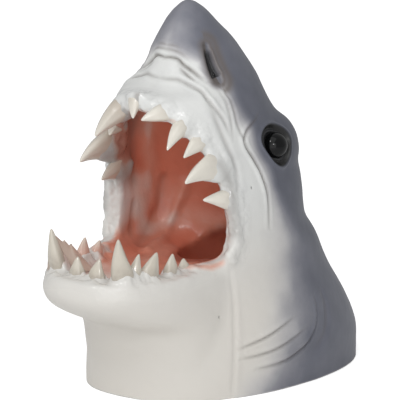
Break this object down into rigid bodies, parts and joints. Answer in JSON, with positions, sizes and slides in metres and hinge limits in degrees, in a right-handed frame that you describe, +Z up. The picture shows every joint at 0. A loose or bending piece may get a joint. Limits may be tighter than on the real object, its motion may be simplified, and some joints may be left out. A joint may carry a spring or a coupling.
{
  "type": "shark head figurine",
  "caption": "Cast shark head standing upright on its cut neck, snout up and mouth wide open, with a toothed lower jaw and a blind gullet.",
  "frame": {"origin": "centre of the flat foot, on the surface that the head stands on", "axes": "+Z up through the snout, -Y out of the mouth, +X towards the shark's left side"},
  "size_m": [0.1348, 0.2457, 0.2419],
  "materials": {
    "painted_resin": "glossy airbrushed paint over cast resin"
  },
  "bodies": {
    "root": {"shark_head": "painted_resin"}
  },
  "joints": []
}
